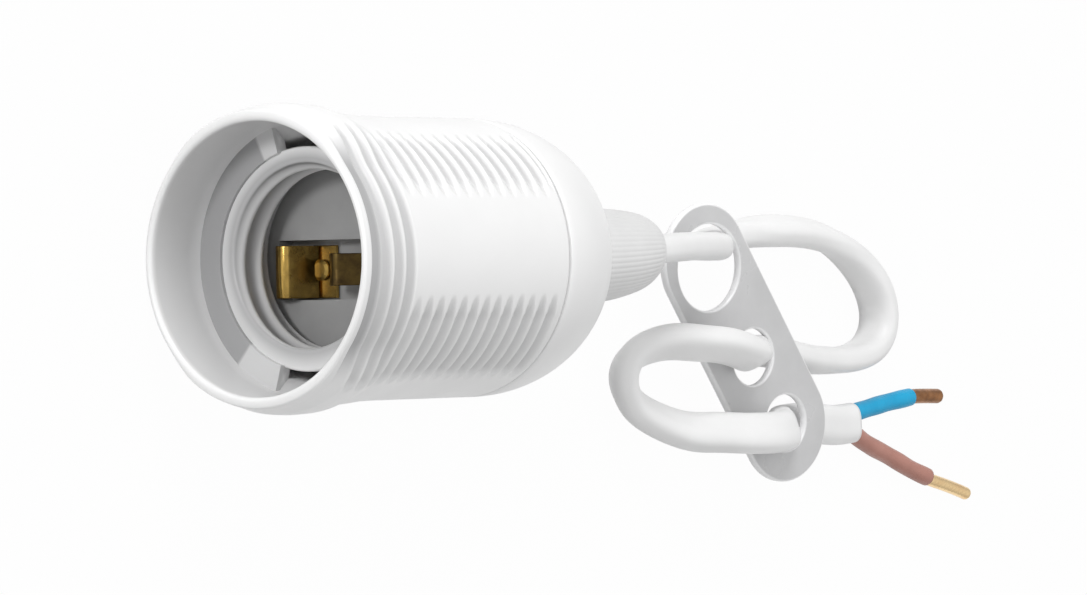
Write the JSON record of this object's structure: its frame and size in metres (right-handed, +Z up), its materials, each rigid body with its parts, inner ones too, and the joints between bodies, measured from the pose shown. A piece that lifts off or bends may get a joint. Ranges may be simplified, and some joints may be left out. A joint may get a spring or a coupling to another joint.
{
  "type": "pendant lamp holder with cable",
  "caption": "White pendant lamp holder with a threaded barrel and domed cap, a tapered cord grip, and a short flat cord threaded through a flat hanger strap.",
  "frame": {"origin": "under the middle of the holder, on the surface it lies on; the holder alone, without its cord and strap", "axes": "+X along the holder's axis from the mouth to the cord grip, +Z up from the surface, the holder's axis level"},
  "size_m": [0.1995, 0.0614, 0.0398],
  "materials": {
    "white_body": "satin",
    "contact_base": "matte",
    "grip": "matte",
    "strap": "translucent satin",
    "sheath": "satin",
    "blue_insulation": "satin",
    "brown_insulation": "satin",
    "brass": "polished",
    "steel": "plated",
    "copper": "bare stranded copper"
  },
  "bodies": {
    "root": {"threaded_shell": "white_body", "dome_cap": "white_body", "contact_base": "contact_base", "cord_collet": "contact_base", "cord_grip": "grip", "side_contact": "brass", "centre_contact": "brass", "side_rivet": "brass", "centre_rivet": "brass", "side_terminal": "brass", "centre_terminal": "brass", "side_terminal_screw": "steel", "centre_terminal_screw": "steel", "inner_cord": "sheath", "inner_blue_core": "blue_insulation", "inner_brown_core": "brown_insulation", "inner_blue_wire": "copper", "inner_brown_wire": "copper", "cord": "sheath", "blue_core": "blue_insulation", "brown_core": "brown_insulation", "blue_wire": "copper", "brown_wire": "copper", "hanger_strap": "strap"}
  },
  "joints": []
}
